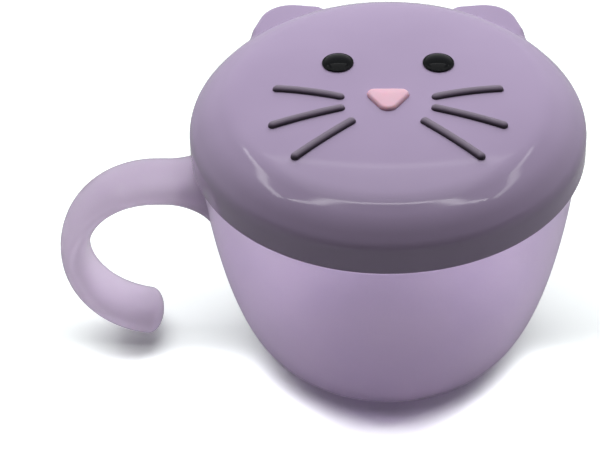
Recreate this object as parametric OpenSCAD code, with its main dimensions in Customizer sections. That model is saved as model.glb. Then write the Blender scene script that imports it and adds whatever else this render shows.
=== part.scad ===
// Toddler snack cup with a hook handle, a drop-in finger trap and a lid with an animal face.
// Units are millimetres, +Z is up. The origin is the centre of the base, on the table.
// The face looks toward -Y and the handle stands out toward -X.

/* [Cup] */
// Outside diameter of the cup at its rim
cup_d = 100.6; // [94:0.2:112]
// Height of the cup's rim above the table
cup_h = 70; // [66:0.5:84]
// Diameter of the flat base that the round corner starts from
base_d = 52; // [44:1:60]
// Thickness of the cup's wall
cup_wall = 1.8; // [1.4:0.1:2.4]
// Thickness of the cup's floor
floor_t = 2.2; // [1.6:0.1:3.2]
// How fast the wall climbs near the base: larger is steeper
bowl_low = 1.3; // [1.2:0.05:1.6]
// How full the lower corner is: larger is fuller
bowl_full = 2.6; // [2.3:0.1:3.0]
// How far the bead that stops the lid stands out from the wall
bead_out = 0.8; // [0.5:0.1:1.2]
// Height of the bead that stops the lid
bead_h = 1.4; // [1.0:0.1:2.0]

/* [Handle] */
// Radius of the hook's bend, at the middle of the strap
hook_r = 23.1; // [20:0.1:26]
// Distance from the cup's axis to the centre of the bend
hook_x = 62.4; // [60:0.2:68]
// Height of the strap's middle where it leaves the cup
hook_z = 51.9; // [49.5:0.1:54]
// Angle that the hook turns through
hook_turn = 170; // [140:1:176]
// Width of the strap's oval section, front to back
strap_w = 17.4; // [14:0.2:20]
// Thickness of the strap's oval section
strap_t = 8; // [7:0.2:9]
// How much wider the strap is where it meets the cup
root_wide = 8; // [4:0.5:10]
// How much thicker the strap is where it meets the cup
root_thick = 7; // [2:0.5:8]
// How far the strap's middle drops where it meets the cup
root_drop = 1; // [0:0.1:2]
// Length of the widening
root_len = 9; // [6:0.5:9.5]

/* [Finger trap] */
// Gap between the trap's wall and the cup
trap_gap = 0.4; // [0.3:0.05:0.6]
// Thickness of the trap's wall and of its flange
trap_wall = 1.6; // [1.2:0.1:2.0]
// Depth of the trap's wall below the rim
trap_depth = 7.5; // [6:0.5:9]
// Gap between the edge of the flange and the inside of the lid
flange_gap = 0.7; // [0.5:0.1:1.0]
// Distance from the axis to the line that each flap bends on
flap_root = 35; // [31:0.5:38]
// Thickness of a flap
flap_t = 1.2; // [0.8:0.1:1.6]
// Width of the slit between two flaps
slit_w = 1.2; // [1.0:0.1:1.8]
// Distance from the axis to a flap's tip
flap_tip = 4; // [3.6:0.2:7]
// Gap between the root of a flap and the frame
root_gap = 0.3; // [0.2:0.05:0.5]

/* [Lid] */
// Gap between the lid's skirt and the cup
lid_gap = 0.4; // [0.3:0.05:0.6]
// Thickness of the lid's wall
lid_wall = 1.8; // [1.6:0.1:2.2]
// How far the skirt reaches down past the cup's rim
skirt_over = 6.1; // [5:0.1:7]
// Height of the skirt's straight band up to the shoulder
band_h = 7.8; // [7.6:0.1:9]
// Height of the shoulder
shoulder_h = 8.8; // [7.5:0.1:10]
// How far the shoulder runs in toward the face
shoulder_in = 10.2; // [9:0.1:11.5]
// How far the middle of the shoulder stands out from a straight line
shoulder_bulge = 1.2; // [0.6:0.1:1.5]
// Radius of the rounding in the middle of the shoulder
shoulder_r = 16; // [8:0.5:18]
// Rise of the face from the shoulder to its middle
face_rise = 3.2; // [2.4:0.1:4.4]
// How flat the middle of the face stays: larger is flatter
face_full = 3.4; // [2.6:0.1:4]
// Radius of the corner between band and shoulder
band_corner = 6; // [3:0.1:7]
// Radius of the corner between shoulder and face
face_corner = 14; // [8:0.5:16]
// Width of the rib inside the lid that comes down on the trap's flange
seat_rib_w = 1.6; // [1.2:0.1:2.2]
// Gap between the rib and the flange
seat_gap = 0.3; // [0.2:0.05:0.5]

/* [Ears] */
// Direction of each ear's tip, measured from the side
ear_angle = 58; // [52:1:64]
// Half of the angle that an ear covers at the skirt
ear_half = 22; // [18:0.5:24]
// Distance from the skirt to the ear's corner before it is rounded
ear_reach = 9.6; // [7:0.1:12]
// Radius of the ear's tip
ear_tip_r = 8.8; // [7:0.1:10]
// Height of the ear
ear_h = 10; // [9:0.1:11]
// Size of the ear's softened upper edge
ear_soft = 1.8; // [1:0.1:2.4]

/* [Face] */
// Depth of the seats that the face pieces are set into
seat_depth = 0.8; // [0.5:0.05:0.9]
// Clearance round a face piece in its seat
seat_fit = 0.05; // [0.03:0.01:0.1]
// Diameter of an eye
eye_d = 8.4; // [7:0.1:10]
// Distance of an eye from the middle line
eye_x = 13.3; // [11:0.1:16]
// Distance of the eyes behind the middle of the face
eye_y = 10.5; // [8:0.1:13]
// Height of an eye's straight edge above the face
eye_edge = 0.5; // [0.3:0.1:0.9]
// Height of an eye's dome above its edge
eye_dome = 0.9; // [0.6:0.1:1.4]
// Width of the nose
nose_w = 11.1; // [9:0.1:13]
// Length of the nose, back to front
nose_l = 8.9; // [8:0.1:11]
// Distance of the nose's back edge in front of the middle
nose_y = 1.5; // [0.4:0.1:2]
// Radius of the nose's two back corners
nose_r = 2.1; // [1.6:0.1:2.4]
// Radius of the nose's front corner
nose_tip_r = 2.8; // [2.2:0.1:3.4]
// Height of the nose above the face
nose_rise = 1.2; // [0.8:0.1:1.6]
// Width of a whisker
whisker_w = 2.5; // [1.8:0.1:2.6]
// Length of an upper whisker
upper_l = 19.6; // [16:0.2:21]
// Length of a middle whisker
middle_l = 20.8; // [16:0.2:22]
// Length of a lower whisker
lower_l = 21.4; // [16:0.2:23]

/* [Hidden] */

$fn = 96;
eps = 0.02;

cup_color = [0.84, 0.78, 0.86];
handle_color = [0.80, 0.70, 0.80];
trap_color = [0.74, 0.68, 0.80];
flap_color = [0.82, 0.78, 0.86];
lid_color = [0.68, 0.61, 0.73];
eye_color = [0.03, 0.03, 0.03];
nose_color = [0.93, 0.70, 0.76];
whisker_color = [0.38, 0.33, 0.39];

// The cup's wall rises on a curve up to the straight band under the lid.
cup_r = cup_d / 2;
skirt_z = cup_h - skirt_over;
bowl_h = skirt_z;
base_r = base_d / 2;
bowl_steps = 12;
bead_gap = 0.3;
bead_z = skirt_z - bead_gap - bead_h;
rim_round = 0.5;

// The lid is built outward from the cup, so its fit follows the cup's size.
lid_r = cup_r + lid_gap + lid_wall;
face_r = lid_r - shoulder_in;
face_z = band_h + shoulder_h;
shoulder_deg = atan2(shoulder_h, shoulder_in);
shoulder_mid = [lid_r - shoulder_in / 2, band_h + shoulder_h / 2]
    + shoulder_bulge * [sin(shoulder_deg), cos(shoulder_deg)];
low_deg = atan2(shoulder_mid.y - band_h, lid_r - shoulder_mid.x);
high_deg = atan2(face_z - shoulder_mid.y, shoulder_mid.x - face_r);
edge_deg = face_deg(face_r);
dome_steps = 10;
corner_steps = 6;

// The trap hangs from its flange in the cup's mouth.
trap_r = cup_r - cup_wall - trap_gap;
flange_r = lid_r - lid_wall - flange_gap;
trap_z = cup_h - trap_depth;
flap_n = 8;
flap_step = 360 / flap_n;
hinge_z = trap_z + trap_wall / 2;
frame_in = flap_root + flap_t / 2 + root_gap;

rib_r = flange_r - 0.8;

// The round end of the strap is this much smaller all round than the bend.
end_step = 0.04;

// Middle of each whisker, its direction in plan, and its length.
upper_mid = [20.8, -2.2];
upper_deg = 15;
middle_mid = [21.1, -12.0];
middle_deg = -18;
lower_mid = [16.6, -21.0];
lower_deg = -41.5;
whisker_sink = 0.1;

// Points of an arc of radius r that rounds the corner b between a and c.
function unit(v) = v / norm(v);
function corner(a, b, c, r, n) =
    let (u = unit(a - b), w = unit(c - b))
    let (half = acos(u * w) / 2)
    let (mid = b + unit(u + w) * r / sin(half))
    let (p = b + u * r / tan(half), q = b + w * r / tan(half))
    let (t0 = atan2(p.y - mid.y, p.x - mid.x))
    let (t1 = atan2(q.y - mid.y, q.x - mid.x))
    let (turn = t1 - t0 - 360 * round((t1 - t0) / 360))
    [for (i = [0 : n]) mid + r * [cos(t0 + turn * i / n), sin(t0 + turn * i / n)]];

// Oval section of the strap, centred on the origin.
oval_steps = 32;
function oval(w, h) =
    [for (i = [0 : oval_steps - 1]) let (a = 360 * i / oval_steps) [w / 2 * cos(a), h / 2 * sin(a)]];

// Outside of the bowl: radius and height at angle t, from the base up to the lid.
function bowl(t) =
    [base_r + (cup_r - base_r) * pow(sin(t), 2 / bowl_full),
     bowl_h * (1 - pow(cos(t), 2 / bowl_low))];
bowl_dt = 0.4;
function bowl_in(t) =
    let (a = bowl(max(t - bowl_dt, 0)), b = bowl(min(t + bowl_dt, 90)))
    let (d = unit(b - a))
    bowl(t) + cup_wall * [-d.y, d.x];

bowl_pts = [for (i = [0 : bowl_steps]) bowl(90 * i / bowl_steps)];
bowl_in_pts = [for (i = [0 : bowl_steps])
    let (p = bowl_in(90 * i / bowl_steps))
    if (p.y > floor_t + eps) p];

// Slope of the face at radius r.
function face_deg(r) = atan(face_rise * face_full / face_r * pow(r / face_r, face_full - 1));

// Corner p of the lid's profile, between slopes of flat and steep degrees, moved inward by w.
function inset(p, flat, steep, w) =
    p - w * [cos(flat) - cos(steep), sin(steep) - sin(flat)] / sin(steep - flat);

// Lid profile from the skirt to the face, with its outside moved inward by w.
function lid_side(w) =
    let (b = inset([lid_r, band_h], low_deg, 90, w))
    let (m = inset(shoulder_mid, high_deg, low_deg, w))
    let (e = inset([face_r, face_z], edge_deg, high_deg, w))
    let (f = e + 4 * [-cos(edge_deg), sin(edge_deg)])
    concat(
        corner([lid_r - w, 0], b, m, band_corner - w, corner_steps),
        corner(b, m, e, shoulder_r - w, corner_steps),
        corner(m, e, f, max(face_corner - w, 1), corner_steps));
function dome_z(r, w) = face_z + face_rise * (1 - pow(r / face_r, face_full)) - w;
function dome_pts(w) =
    let (start = face_r - 3)
    [for (i = [0 : dome_steps]) let (r = start * (1 - i / dome_steps)) [r, dome_z(r, w)]];
function lid_pts(w) = concat(lid_side(w), dome_pts(w));

// Puts a piece on the face at x and y, square to the domed surface.
module on_face(x, y) {
    r = norm([x, y]);
    turn = atan2(y, x);
    translate([x, y, skirt_z + dome_z(r, 0)])
        rotate([0, 0, turn])
        rotate([0, face_deg(r), 0])
        rotate([0, 0, -turn])
        children();
}

module bowl_solid() {
    rotate_extrude() polygon(concat([[0, 0]], bowl_pts, [[cup_r, cup_h + 1], [0, cup_h + 1]]));
}

// One thin moulding: round bowl, straight rim and the bead under the lid.
module cup() {
    inner_r = cup_r - cup_wall;
    low = bowl_in_pts[0];
    color(cup_color)
    rotate_extrude()
        polygon(concat([[0, 0]], bowl_pts,
            [[cup_r, bead_z - bead_out], [cup_r + bead_out, bead_z],
             [cup_r + bead_out, bead_z + bead_h], [cup_r, bead_z + bead_h],
             [cup_r, cup_h - rim_round], [cup_r - rim_round, cup_h],
             [inner_r + rim_round, cup_h], [inner_r, cup_h - rim_round]],
            [for (i = [len(bowl_in_pts) - 1 : -1 : 0]) bowl_in_pts[i]],
            [[low.x - (low.y - floor_t), floor_t], [0, floor_t]]));
}

// Slice of the strap at x, k of the way to its full widening at the cup.
module strap_slice(x, k) {
    translate([x, 0, hook_z - root_drop * k])
        rotate([90, 0, 90])
        linear_extrude(eps)
        polygon(oval(strap_w + root_wide * k, strap_t + root_thick * k));
}

// Hook of one oval strap: widened root on the cup, short run, bend, round end.
module handle() {
    end_r = strap_t / 2 - end_step;
    end_y = strap_w / 2 - end_step;
    end_half = [for (i = [0 : oval_steps / 2])
        let (a = 360 * i / oval_steps - 90) [end_r * cos(a), end_y * sin(a)]];
    bend_z = hook_z - hook_r;
    flare_x = -cup_r - root_len;
    mid_x = -cup_r - root_len * 0.4;
    color(handle_color)
    difference() {
        union() {
            translate([-hook_x, 0, bend_z])
                rotate([90, 0, 0])
                rotate([0, 0, 90])
                rotate_extrude(angle = hook_turn)
                translate([hook_r, 0]) polygon(oval(strap_t, strap_w));
            translate([-hook_x, 0, bend_z])
                rotate([90, 0, 0])
                rotate([0, 0, 90 + hook_turn])
                translate([hook_r, 0, 0])
                rotate_extrude() polygon(end_half);
            translate([-hook_x, 0, hook_z])
                rotate([90, 0, 90])
                linear_extrude(hook_x + flare_x) polygon(oval(strap_w, strap_t));
            hull() {
                strap_slice(flare_x, 0);
                strap_slice(mid_x - eps, 0.25);
            }
            hull() {
                strap_slice(mid_x, 0.25);
                strap_slice(-cup_r + 2 * cup_wall, 1.3);
            }
        }
        bowl_solid();
    }
}

// Stiff frame of the finger trap: flange on the rim, wall in the mouth, floor round the flaps.
module trap_frame() {
    color(trap_color)
    difference() {
        rotate_extrude()
            polygon([[0, trap_z], [trap_r - rim_round, trap_z], [trap_r, trap_z + rim_round],
                [trap_r, cup_h], [flange_r, cup_h],
                [flange_r, cup_h + trap_wall - rim_round],
                [flange_r - rim_round, cup_h + trap_wall],
                [trap_r - trap_wall, cup_h + trap_wall],
                [trap_r - trap_wall, trap_z + trap_wall], [0, trap_z + trap_wall]]);
        translate([0, 0, trap_z - 1])
            rotate([0, 0, flap_step / 2])
            cylinder(r = frame_in / cos(flap_step / 2), h = trap_wall + 2, $fn = flap_n);
    }
}

// One soft flap. Its root is round about the line that it bends on.
module flap(i) {
    side = flap_root * tan(flap_step / 2) - slit_w / 2 / cos(flap_step / 2);
    tip = flap_tip * tan(flap_step / 2) - slit_w / 2 / cos(flap_step / 2);
    color(flap_color)
    rotate([0, 0, flap_step * (i - 1)])
    translate([0, 0, hinge_z]) {
        translate([0, 0, -flap_t / 2])
            linear_extrude(flap_t)
            polygon([[flap_tip, -tip], [flap_root, -side], [flap_root, side], [flap_tip, tip]]);
        translate([flap_root, side, 0])
            rotate([90, 0, 0]) cylinder(d = flap_t, h = 2 * side, $fn = 24);
    }
}

function ear_outline(side) =
    let (near = [cos(ear_angle - ear_half), sin(ear_angle - ear_half)] * (lid_r - 2))
    let (far = [cos(ear_angle + ear_half), sin(ear_angle + ear_half)] * (lid_r - 2))
    let (tip = [cos(ear_angle), sin(ear_angle)] * (lid_r + ear_reach))
    let (back = [cos(ear_angle), sin(ear_angle)] * (lid_r - 14))
    [for (p = concat([near], corner(near, tip, far, ear_tip_r, 2 * corner_steps), [far, back]))
        [side * p.x, p.y]];

module ear(side) {
    translate([0, 0, skirt_z])
    hull() {
        linear_extrude(ear_h - ear_soft) polygon(ear_outline(side));
        linear_extrude(ear_h - 0.3 * ear_soft) offset(delta = -0.3 * ear_soft)
            polygon(ear_outline(side));
        linear_extrude(ear_h) offset(delta = -ear_soft) polygon(ear_outline(side));
    }
}

module ear_pocket(side) {
    translate([0, 0, skirt_z - 1])
        linear_extrude(ear_h - lid_wall + 1) offset(delta = -lid_wall)
        polygon(ear_outline(side));
}

module nose_outline(grow) {
    x = nose_w / 2 - nose_r;
    back = nose_l / 2 - nose_r;
    hull() {
        translate([-x, back]) circle(r = nose_r + grow, $fn = 32);
        translate([x, back]) circle(r = nose_r + grow, $fn = 32);
        translate([0, nose_tip_r - nose_l / 2]) circle(r = nose_tip_r + grow, $fn = 32);
    }
}

module nose_place() {
    on_face(0, -nose_y - nose_l / 2) children();
}

module eye_place(side) {
    on_face(side * eye_x, eye_y) children();
}

// A round bar let half into the face, with round ends.
module whisker_bar(mid, deg, l, side, grow) {
    r = whisker_w / 2 + grow;
    run = l - whisker_w;
    on_face(side * mid.x, mid.y)
        translate([0, 0, -whisker_sink])
        rotate([0, 0, side > 0 ? deg : 180 - deg])
        translate([-run / 2, 0, 0])
        rotate([0, 90, 0]) {
            cylinder(r = r, h = run, $fn = 32);
            sphere(r = r, $fn = 32);
            translate([0, 0, run]) sphere(r = r, $fn = 32);
        }
}
module upper_bar(side, grow) {
    whisker_bar(upper_mid, upper_deg, upper_l, side, grow);
}

module middle_bar(side, grow) {
    whisker_bar(middle_mid, middle_deg, middle_l, side, grow);
}

module lower_bar(side, grow) {
    whisker_bar(lower_mid, lower_deg, lower_l, side, grow);
}

// Hollow lid with two hollow ears, a seat rib inside and the seats for the face pieces.
module lid() {
    rib_z = cup_h + trap_wall + seat_gap;
    rib_top = skirt_z + band_h + (lid_r - rib_r) * tan(low_deg) - lid_wall;
    inner = lid_pts(lid_wall);
    color(lid_color)
    difference() {
        union() {
            difference() {
                union() {
                    translate([0, 0, skirt_z])
                        rotate_extrude() polygon(concat([[0, 0], [lid_r, 0]], lid_pts(0)));
                    ear(1);
                    ear(-1);
                }
                translate([0, 0, skirt_z])
                    rotate_extrude()
                    polygon(concat([[0, -1], [lid_r - lid_wall, -1]], inner));
                difference() {
                    union() {
                        ear_pocket(1);
                        ear_pocket(-1);
                    }
                    translate([0, 0, skirt_z - 2]) cylinder(r = lid_r, h = 2 * ear_h);
                }
            }
            translate([0, 0, rib_z])
                rotate_extrude()
                polygon([[rib_r - seat_rib_w, 0], [rib_r, 0], [rib_r, rib_top - rib_z],
                    [rib_r - seat_rib_w, rib_top - rib_z + seat_rib_w * tan(shoulder_deg)]]);
        }
        for (side = [-1, 1]) {
            eye_place(side) translate([0, 0, -seat_depth])
                cylinder(r = eye_d / 2 + seat_fit, h = 2 * seat_depth);
            upper_bar(side, seat_fit);
            middle_bar(side, seat_fit);
            lower_bar(side, seat_fit);
        }
        nose_place() translate([0, 0, -seat_depth])
            linear_extrude(2 * seat_depth) nose_outline(seat_fit);
    }
}

// A glossy button with a low dome.
module eye(side) {
    ball = (eye_d * eye_d / 4 + eye_dome * eye_dome) / (2 * eye_dome);
    color(eye_color)
    eye_place(side) {
        translate([0, 0, -seat_depth]) cylinder(d = eye_d, h = seat_depth + eye_edge);
        intersection() {
            translate([0, 0, eye_edge + eye_dome - ball]) sphere(r = ball);
            translate([0, 0, eye_edge - eps]) cylinder(d = eye_d, h = eye_dome + 1);
        }
    }
}

module eye_left() {
    eye(-1);
}

module eye_right() {
    eye(1);
}

// A soft triangle with its point toward the front.
module nose() {
    color(nose_color)
    nose_place()
    translate([0, 0, -seat_depth])
    hull() {
        linear_extrude(seat_depth + nose_rise / 2) nose_outline(0);
        linear_extrude(seat_depth + nose_rise) nose_outline(-nose_rise / 2);
    }
}

module whisker_upper_left() {
    color(whisker_color) upper_bar(-1, 0);
}

module whisker_middle_left() {
    color(whisker_color) middle_bar(-1, 0);
}

module whisker_lower_left() {
    color(whisker_color) lower_bar(-1, 0);
}

module whisker_upper_right() {
    color(whisker_color) upper_bar(1, 0);
}

module whisker_middle_right() {
    color(whisker_color) middle_bar(1, 0);
}

module whisker_lower_right() {
    color(whisker_color) lower_bar(1, 0);
}

cup();
handle();
trap_frame();
flap(1);  // flap_1
flap(2);  // flap_2
flap(3);  // flap_3
flap(4);  // flap_4
flap(5);  // flap_5
flap(6);  // flap_6
flap(7);  // flap_7
flap(8);  // flap_8
lid();
eye_left();
eye_right();
nose();
whisker_upper_left();
whisker_middle_left();
whisker_lower_left();
whisker_upper_right();
whisker_middle_right();
whisker_lower_right();
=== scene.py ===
# %% [markdown]
# # A toddler's snack cup with a cat's face
# The real thing comes apart by hand into three: a frosted cup with a hook for a handle, a finger
# trap with eight soft flaps that drops into the cup's mouth, and a glossy lid. Eyes, nose and
# whiskers are small pieces set into the lid. The engineered part is loaded first and never
# changes. Every piece below is made round it, in millimetres, and turned to metres once. Names
# of sizes that end in _r are radii, _h heights, _w widths and _t thicknesses.

# %% Load the engineered part
import math

import bmesh
import bpy
import numpy as np
from mathutils import Matrix, Vector


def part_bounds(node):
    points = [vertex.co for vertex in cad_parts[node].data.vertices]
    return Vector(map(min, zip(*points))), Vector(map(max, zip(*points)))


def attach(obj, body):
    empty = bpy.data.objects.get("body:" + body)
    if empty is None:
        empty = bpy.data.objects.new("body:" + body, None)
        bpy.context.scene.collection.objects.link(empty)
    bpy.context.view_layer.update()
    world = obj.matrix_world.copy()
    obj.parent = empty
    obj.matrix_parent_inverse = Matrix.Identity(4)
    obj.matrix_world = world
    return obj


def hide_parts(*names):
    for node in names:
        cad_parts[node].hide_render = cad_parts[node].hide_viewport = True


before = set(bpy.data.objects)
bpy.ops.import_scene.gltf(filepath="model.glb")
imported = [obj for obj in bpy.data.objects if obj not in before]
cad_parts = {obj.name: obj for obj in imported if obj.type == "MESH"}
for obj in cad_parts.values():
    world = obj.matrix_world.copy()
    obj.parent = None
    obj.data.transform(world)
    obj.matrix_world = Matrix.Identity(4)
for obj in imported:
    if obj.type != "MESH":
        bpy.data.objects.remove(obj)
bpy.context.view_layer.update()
mm = 0.001


def part_box(name):
    """Lowest and highest corner of an engineered part, in millimetres."""
    return [np.array(corner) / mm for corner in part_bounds(name)]


lid_low, lid_high = part_box("lid")
lid_r = lid_high[0]
skirt_z = lid_low[2]
print(f"lid radius {lid_r:.1f} mm, skirt starts {skirt_z:.1f} mm above the table")

# %% [markdown]
# ## Two small helpers for nodes
# Materials and Geometry Nodes are both trees of nodes. One function adds any node with its
# settings and links, so that a tree reads from top to bottom. Colours are written as a designer
# would give them, in sRGB hex, and Blender wants them linear.

# %% Helpers for nodes and colours
def node(tree, kind, inputs=None, **settings):
    """Adds a node with its settings and inputs. A node as an input stands for its first output."""
    made = tree.nodes.new(kind)
    for name, value in settings.items():
        setattr(made, name, value)
    for key, value in (inputs or {}).items():
        if isinstance(value, bpy.types.Node):
            value = value.outputs[0]
        if isinstance(value, bpy.types.NodeSocket):
            tree.links.new(value, made.inputs[key])
        else:
            made.inputs[key].default_value = value
    return made


def linear(code):
    """A six-digit sRGB colour as linear red, green, blue and alpha."""
    parts = [int(code[i:i + 2], 16) / 255 for i in (0, 2, 4)]
    return [p / 12.92 if p <= 0.04045 else ((p + 0.055) / 1.055) ** 2.4 for p in parts] + [1]


# %% [markdown]
# ## Plastics with patterns of a real size
# Object coordinates are in metres, so a noise whose bumps are 3 mm apart has a scale of
# 1 / 0.003. Every pattern below states its real size and gets its scale this way. All the
# pieces are moulded, so one function makes their plastics and elastomers: two close tones in
# slow clouds, a roughness that wanders a little, and the grain of the mould as a bump. A real
# mould's grain is too fine for the render, so it is drawn as coarse as it needs to show.

# %% A pattern of a real size
def noise(tree, size_mm, detail=2.0):
    """Soft noise in object space whose bumps are size_mm apart."""
    place = node(tree, "ShaderNodeTexCoord").outputs["Object"]
    return node(tree, "ShaderNodeTexNoise",
                {"Vector": place, "Scale": 1 / (size_mm * mm), "Detail": detail})


def new_material(name):
    """An empty material and its tree."""
    made = bpy.data.materials.new(name)
    made.use_nodes = True
    made.node_tree.nodes.clear()
    return made, made.node_tree


def mixed(tree, first, second, factor):
    """A colour between two others, as factor says. Each is an sRGB code or a socket."""
    first, second = [linear(tone) if isinstance(tone, str) else tone for tone in (first, second)]
    return node(tree, "ShaderNodeMix", {0: factor, 6: first, 7: second}, data_type="RGBA").outputs[2]


# %% A moulded plastic
cloud_low, cloud_high = 0.35, 0.65
smear_share, smear_detail = 0.15, 4.0
# Painted shade: sides facing up less than the first of these take the edge colour, and it fades out by
# the second.
painted_shade_full_below, painted_shade_gone_above = 0.35, 0.8


def plastic(name, low, high, cloud_mm, grain_mm, grain_depth_mm, rough, haze=0.0, edge=None, **sockets):
    """A moulded plastic of the tones low and high.

    Haze is the share of light that the wall scatters on its way through. Sides that don't face
    up turn to the colour edge, if it is given: this is painted shade, not the plastic's own colour."""
    made, tree = new_material(name)
    clouds = node(tree, "ShaderNodeMapRange",
                  {"Value": noise(tree, cloud_mm), "From Min": cloud_low, "From Max": cloud_high})
    smear = node(tree, "ShaderNodeMapRange",
                 {"Value": noise(tree, cloud_mm / 4, smear_detail),
                  "To Min": rough * (1 - smear_share), "To Max": rough * (1 + smear_share)})
    grain = node(tree, "ShaderNodeBump",
                 {"Height": noise(tree, grain_mm), "Distance": grain_depth_mm * mm, "Strength": 1.0})
    tone = mixed(tree, low, high, clouds)
    # Painted shade: sides that face up less are drawn in the darker colour edge.
    if edge:
        normal = node(tree, "ShaderNodeTexCoord").outputs["Normal"]
        facing = node(tree, "ShaderNodeSeparateXYZ", {0: normal})
        top = node(tree, "ShaderNodeMapRange",
                   {"Value": facing.outputs["Z"], "From Min": painted_shade_full_below, "From Max": painted_shade_gone_above})
        tone = mixed(tree, edge, tone, top)
    skin = node(tree, "ShaderNodeBsdfPrincipled",
                {"Base Color": tone, "Roughness": smear, "Normal": grain, **sockets})
    if haze:
        milk = node(tree, "ShaderNodeBsdfTranslucent", {"Color": tone, "Normal": grain})
        skin = node(tree, "ShaderNodeMixShader", {0: haze, 1: skin, 2: milk})
        mirror = node(tree, "ShaderNodeFresnel", {"IOR": sockets["IOR"], "Normal": grain})
        mirror = node(tree, "ShaderNodeMath", {0: mirror, 1: haze}, operation="MULTIPLY")
        gloss = node(tree, "ShaderNodeBsdfGlossy", {"Roughness": smear, "Normal": grain})
        skin = node(tree, "ShaderNodeMixShader", {0: mirror, 1: skin, 2: gloss})
    node(tree, "ShaderNodeOutputMaterial", {"Surface": skin})
    print(f"{name}: {len(tree.nodes)} nodes")
    return made


# %% [markdown]
# ## The lid's plastic
# A lid like this is opaque ABS from a polished mould: even lavender, glossy, with the faint
# waviness that moulders call orange peel. The waves are some 4 mm apart and a few thousandths
# of a millimetre deep, just enough to make a reflection's edge less than perfect.

# %% Lid plastic
# Hard and polished: its shoulder carries the lamps' narrow images.
lid_plastic = plastic("glossy_abs_lavender", "B3A1BF", "B7A5C3", 30, 4, 0.004, 0.09, IOR=1.53)

# %% [markdown]
# ## The plastics of cup, handle and trap
# The cup is polypropylene moulded thin and frosted by its mould. Light goes through it and is
# scattered on the way, so the far wall shows as a soft tone. Transmission with a high roughness
# gives that, at polypropylene's IOR of about 1.49, and the haze evens it out. The handle and the
# trap's frame are the same plastic, one thicker and smoother, the other with more pigment. The
# trap's flaps are a soft elastomer.

# %% Cup, handle and trap plastics
# Thin and frosted: what is behind the wall shows only as a soft tone.
cup_plastic = plastic("frosted_polypropylene_lilac", "EFE5F6", "F3E9F8", 25, 2, 0.004, 0.38,
                      haze=0.33, IOR=1.49, **{"Transmission Weight": 0.95})

# Thick and smooth: it glows from inside under a thin gloss.
handle_plastic = plastic("frosted_polypropylene_pink", "E4DAE8", "E8DEEC", 20, 2, 0.004, 0.12,
                         haze=0.65, IOR=1.49,
                         **{"Transmission Weight": 0.6, "Subsurface Weight": 0.8,
                            "Subsurface Radius": (1.0, 0.8, 1.0), "Subsurface Scale": 0.006})

# More pigment: nearly opaque, with a satin skin.
trap_plastic = plastic("polypropylene_lilac", "B9A9C8", "BDAECC", 25, 2, 0.004, 0.3,
                       IOR=1.49, **{"Subsurface Weight": 0.3, "Subsurface Scale": 0.002})

# Soft and dull: a broad sheen and no sharp spot of light.
flap_rubber = plastic("soft_elastomer_lilac", "C9BCD2", "CEC2D7", 15, 1, 0.01, 0.5,
                      IOR=1.5, **{"Subsurface Weight": 0.4, "Subsurface Scale": 0.002})

# %% [markdown]
# ## Plastics of the face
# The face's pieces are small, so each shows one thing only: the eyes are polished, the nose is
# soft, and the whiskers are grey with painted shade on their sides.

# %% Eye, nose and whisker plastics
# Black and polished: nearly all that it shows is the image of its surroundings.
eye_plastic = plastic("polished_abs_black", "0B0D10", "0E1013", 10, 3, 0.002, 0.07, IOR=1.53,
                      **{"Specular IOR Level": 0.3})

# Soft and dull: a powdery pink with no sharp spot of light.
nose_rubber = plastic("soft_elastomer_pink", "E8B6C6", "EABBCA", 6, 0.8, 0.02, 0.5,
                      IOR=1.45, **{"Subsurface Weight": 0.3, "Subsurface Scale": 0.001})

# Satin and grey, with painted shade: the sides, where they meet the lid, are drawn darker than the top.
whisker_plastic = plastic("satin_elastomer_grey", "85778A", "8B7D90", 6, 0.6, 0.02, 0.42,
                          edge="3A303C", IOR=1.5)

# %% [markdown]
# ## Helpers for pieces
# A turned or lofted shape is a stack of point rings. One helper rounds the corners of a profile
# with true arcs, one joins rings into faces, one cleans the mesh and turns its faces outward,
# and one shows it as a piece that rides on a body and stands for engineered parts.

# %% Rounded profiles
# Two corners share the line between them by their radii, and use this much of their share.
usable_room = 0.97
least_reach = 0.02


def rounded(corners, steps=6):
    """The line through corners (x, y, radius), each rounded by its radius as far as there is room."""
    spots = [np.array(c[:2], float) for c in corners]
    radii = [c[2] for c in corners]
    line = [spots[0]]
    for i in range(1, len(spots) - 1):
        spot, radius = spots[i], radii[i]
        if radius == 0:
            line.append(spot)
            continue
        back, on = spots[i - 1] - spot, spots[i + 1] - spot
        share = min(np.linalg.norm(back) / (radius + radii[i - 1]),
                    np.linalg.norm(on) / (radius + radii[i + 1]))
        room = usable_room * radius * share
        back, on = back / np.linalg.norm(back), on / np.linalg.norm(on)
        half = math.acos(np.clip(back @ on, -1, 1)) / 2
        reach = np.clip(radius / math.tan(half), least_reach, room)
        for k in range(steps + 1):
            s = k / steps
            weights = np.array([(1 - s) ** 2, 2 * s * (1 - s) * math.sin(half), s * s])
            arc = weights @ np.array([spot + back * reach, spot, spot + on * reach])
            line.append(arc / weights.sum())
    line.append(spots[-1])
    return line


def turned(profile_at, angles, closed):
    """Rings of points (r, z) round the axis, as points and faces. A closed profile joins its ends."""
    rings = [profile_at(angle) for angle in angles]
    count = len(rings[0])
    points = [(r * math.cos(a), r * math.sin(a), z) for a, ring in zip(angles, rings) for r, z in ring]
    return points, joined(len(rings), count, True, closed)


def joined(rings, count, wrap_rings, wrap_points):
    """Faces between neighbouring rings of count points each."""
    faces = []
    for i in range(rings if wrap_rings else rings - 1):
        for k in range(count if wrap_points else count - 1):
            here, there = i * count, (i + 1) % rings * count
            up = (k + 1) % count
            faces.append((here + k, there + k, there + up, here + up))
    return faces


def even_angles(count):
    """Angles round a full turn."""
    return [2 * math.pi * i / count for i in range(count)]


# %% Meshes and pieces
# Points closer than weld are one point, and faces thinner than sliver go.
weld = 0.004 * mm
sliver = 0.001 * mm


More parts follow.
